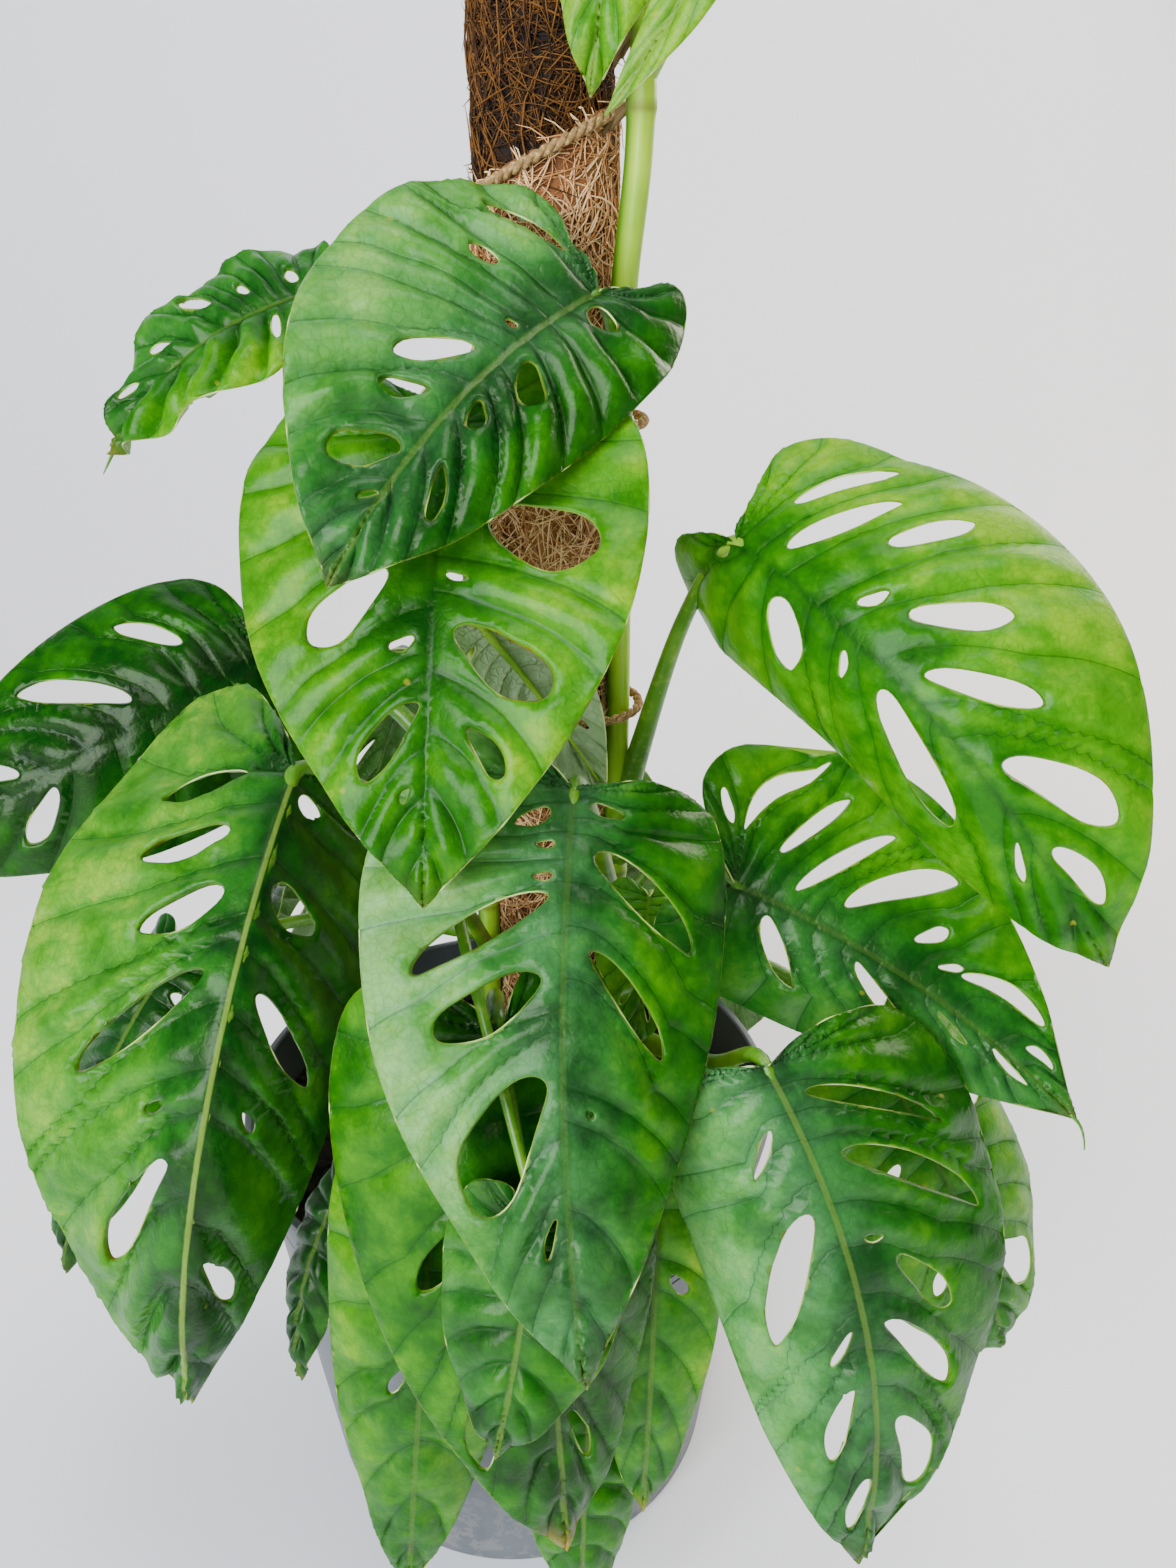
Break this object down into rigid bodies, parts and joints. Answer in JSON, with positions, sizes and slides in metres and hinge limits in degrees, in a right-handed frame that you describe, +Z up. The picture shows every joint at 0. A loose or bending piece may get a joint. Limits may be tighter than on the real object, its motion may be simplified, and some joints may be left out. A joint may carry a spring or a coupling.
{
  "type": "potted swiss cheese vine",
  "caption": "Climbing vine with holed heart-shaped leaves, tied to a coir pole and growing in a tapered nursery pot.",
  "frame": {"origin": "middle of the pot's base, on the surface it stands on", "axes": "+Z up along the pole, -Y towards the leafy front of the plant"},
  "size_m": [0.3741, 0.2868, 0.585],
  "materials": {
    "pot": "moulded, satin grey",
    "soil": "loose, matt, damp",
    "core": "plain stake",
    "coir": "coarse dark coconut fibre",
    "mat": "felted light coconut fibre",
    "twine": "twisted jute",
    "stem": "smooth, slightly glossy",
    "leaf": "glossy above, matt below"
  },
  "bodies": {
    "root": {"pot": "pot", "soil": "soil", "pole_core": "core", "coir_inner": "coir", "coir_mat": "mat", "twine_mat_edge": "twine", "twine_middle": "twine", "twine_high": "twine", "stem_right": "stem", "stem_left": "stem", "stem_back": "stem", "leaf_top": "leaf", "leaf_upper_middle": "leaf", "leaf_right_high": "leaf", "leaf_right_middle": "leaf", "leaf_right_low": "leaf", "leaf_front": "leaf", "leaf_left_big": "leaf", "leaf_left_high": "leaf", "leaf_left_top": "leaf", "leaf_low_front": "leaf", "leaf_low_cupped": "leaf", "leaf_low_narrow": "leaf", "leaf_low_left": "leaf", "leaf_right_behind": "leaf", "leaf_crown": "leaf", "leaf_unrolling": "leaf", "leaf_front_small": "leaf", "leaf_left_small": "leaf", "leaf_left_behind": "leaf", "leaf_inner_pale": "leaf", "leaf_inner_right": "leaf", "leaf_back_top": "leaf", "leaf_back_left_high": "leaf", "leaf_back_middle": "leaf", "leaf_back_left_low": "leaf", "leaf_back_right_low": "leaf", "leaf_side_left": "leaf"}
  },
  "joints": []
}
